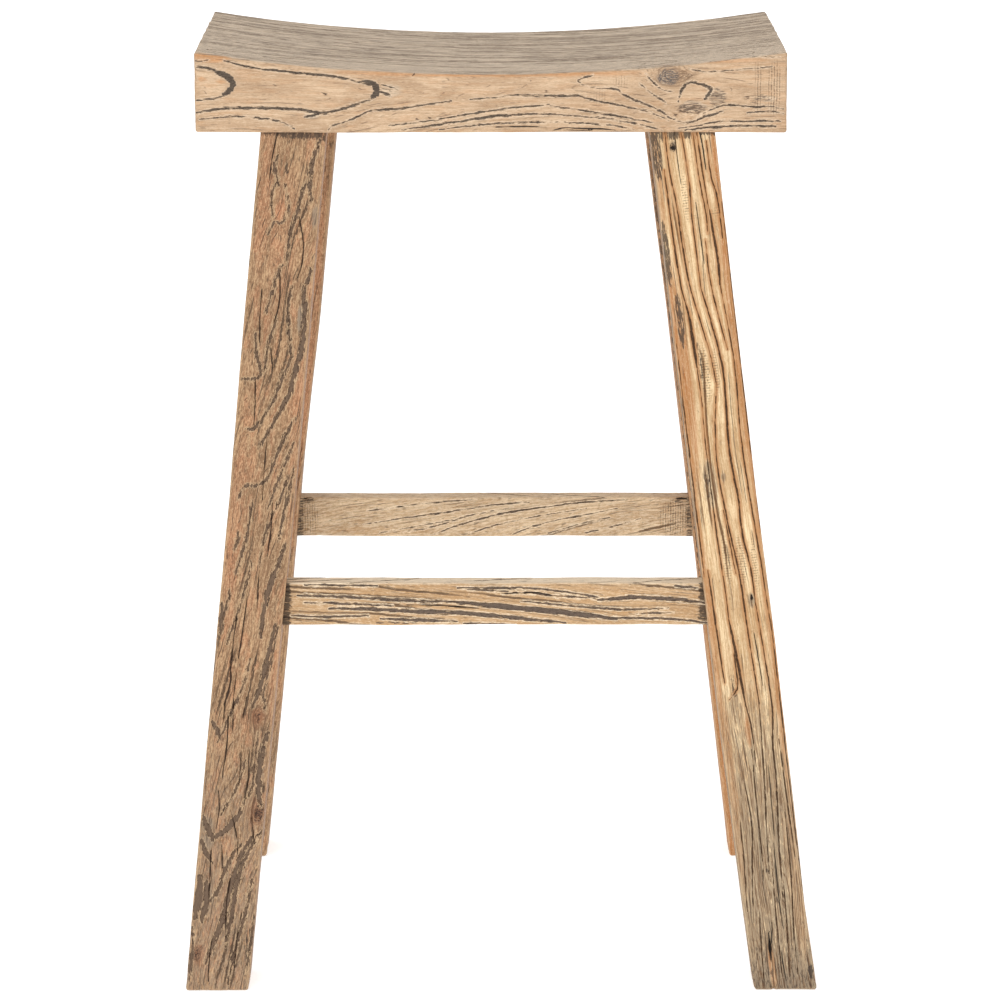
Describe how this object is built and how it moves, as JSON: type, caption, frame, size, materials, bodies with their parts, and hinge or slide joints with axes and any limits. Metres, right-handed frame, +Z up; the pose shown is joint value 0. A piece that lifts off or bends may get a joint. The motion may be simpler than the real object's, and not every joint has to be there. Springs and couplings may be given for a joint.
{
  "type": "bar stool with footrest",
  "caption": "Solid wood bar stool with a saddle seat, splayed square legs and stretchers, the front one serving as the footrest.",
  "frame": {"origin": "centre of the object's footprint, on the floor", "axes": "+Z up, the stool stands on Z = 0; -Y is the front; X runs along the seat's length"},
  "size_m": [0.5148, 0.398, 0.762],
  "materials": {
    "seat_elm": "worn, waxed matte",
    "brown_elm": "weathered, waxed matte",
    "honey_elm": "worn, waxed matte",
    "stretcher_elm": "worn, waxed matte"
  },
  "bodies": {
    "root": {"seat": "seat_elm", "front_left_leg": "brown_elm", "front_right_leg": "honey_elm", "back_left_leg": "brown_elm", "back_right_leg": "honey_elm", "front_stretcher": "stretcher_elm", "back_stretcher": "stretcher_elm", "left_side_stretcher": "stretcher_elm", "right_side_stretcher": "stretcher_elm"}
  },
  "joints": []
}
